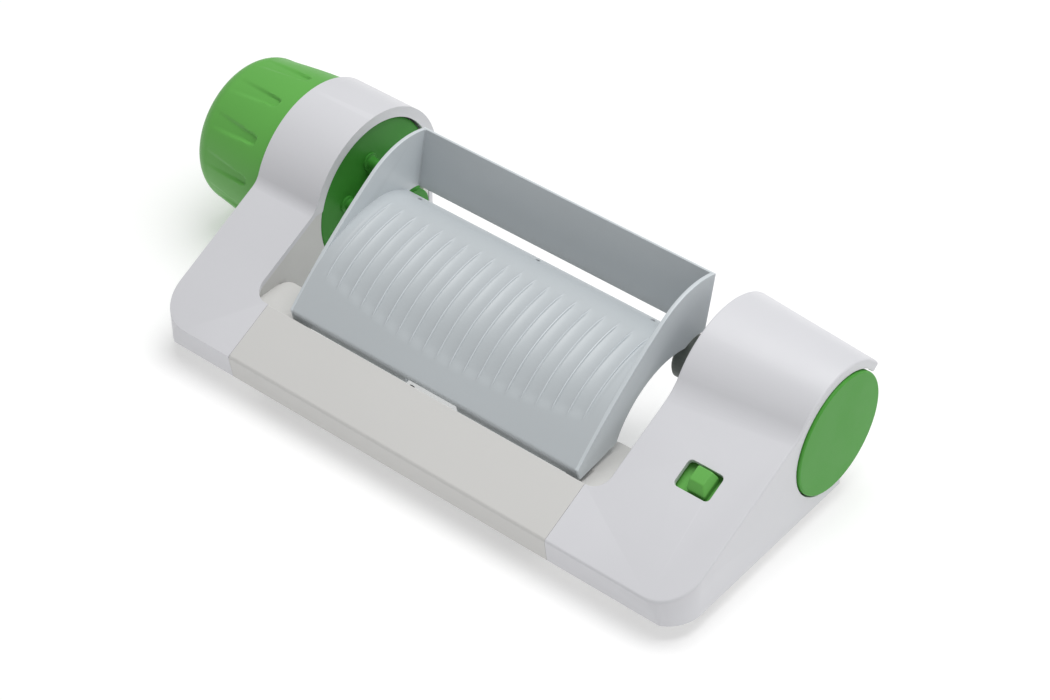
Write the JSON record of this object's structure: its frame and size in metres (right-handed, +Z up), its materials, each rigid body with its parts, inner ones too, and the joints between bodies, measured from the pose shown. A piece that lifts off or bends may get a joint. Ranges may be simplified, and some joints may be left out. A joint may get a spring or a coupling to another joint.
{
  "type": "hand-turned vegetable sheet slicer",
  "caption": "Tabletop peeler that turns a vegetable between a pronged drive disc and a sliding tailstock, under a hinged hood whose long blade pares it into a continuous sheet.",
  "frame": {"origin": "centre of the footprint on the table, under the feet", "axes": "X along the spindle from the crank knob to the pull disc, Y from the front bar to the open rear, Z up"},
  "size_m": [0.3544, 0.1579, 0.089],
  "materials": {
    "white_gloss_plastic": "cool white, satin gloss",
    "white_matte_plastic": "warm light grey, fine matt",
    "green_plastic": "leaf green, satin gloss",
    "blue_grey_plastic": "blue-grey, satin gloss",
    "dark_grey_plastic": "dark grey, matt",
    "bush_plastic": "natural bearing plastic",
    "black_rubber": "soft black rubber",
    "bright_steel": "bright stainless steel"
  },
  "bodies": {
    "frame": {"base_frame": "white_matte_plastic", "bearing_bracket": "white_matte_plastic", "foot_front_left": "black_rubber", "foot_front_right": "black_rubber", "foot_rear_left": "black_rubber", "foot_rear_right": "black_rubber", "hinge_rod": "bright_steel", "hood_spring": "bright_steel", "hood_stop": "black_rubber", "housing_screw_front_left": "bright_steel", "housing_screw_front_right": "bright_steel", "housing_screw_rear_left": "bright_steel", "housing_screw_rear_right": "bright_steel", "inner_bush": "bush_plastic", "latch_bracket": "white_matte_plastic", "left_housing": "white_gloss_plastic", "outer_bush": "bush_plastic", "right_housing": "white_gloss_plastic", "tailstock_guide": "white_matte_plastic"},
    "crank": {"crank_knob": "green_plastic", "drive_shaft": "bright_steel", "drive_disc": "green_plastic", "disc_screw": "bright_steel", "shaft_clip": "bright_steel"},
    "hood": {"blade_hood": "blue_grey_plastic", "blade": "bright_steel", "blade_screw_left": "bright_steel", "blade_screw_middle": "bright_steel", "blade_screw_right": "bright_steel"},
    "tailstock": {"tailstock_pull": "green_plastic", "tailstock_rod": "white_matte_plastic"},
    "head": {"tailstock_head": "dark_grey_plastic", "centre_pin": "bright_steel"},
    "button": {"release_button": "green_plastic"},
    "pawl": {"latch_pawl": "dark_grey_plastic", "latch_spring": "bright_steel"}
  },
  "joints": [
    {"name": "crank_spin", "type": "hinge", "parent": "frame", "child": "crank", "pos_m": [-0.15, 0.03515, 0.0435], "axis": [1, 0, 0], "continuous": true},
    {"name": "hood_swing", "type": "hinge", "parent": "frame", "child": "hood", "pos_m": [0.0166, -0.04345, 0.0361], "axis": [1, 0, 0], "range_deg": [0, 75]},
    {"name": "tailstock_slide", "type": "slide", "parent": "frame", "child": "tailstock", "axis": [1, 0, 0], "range_m": [0, 0.022]},
    {"name": "head_spin", "type": "hinge", "parent": "tailstock", "child": "head", "pos_m": [0.105, 0.03515, 0.0435], "axis": [1, 0, 0], "continuous": true},
    {"name": "button_slide", "type": "slide", "parent": "frame", "child": "button", "axis": [1, 0, 0], "range_m": [-0.005, 0], "stiffness_N_per_m": 100},
    {"name": "pawl_slide", "type": "slide", "parent": "frame", "child": "pawl", "axis": [0, 1, 0], "range_m": [0, 0.0016]}
  ],
  "couplings": [
    {"joint": "pawl_slide", "follows": "button_slide", "ratio": -0.32}
  ]
}
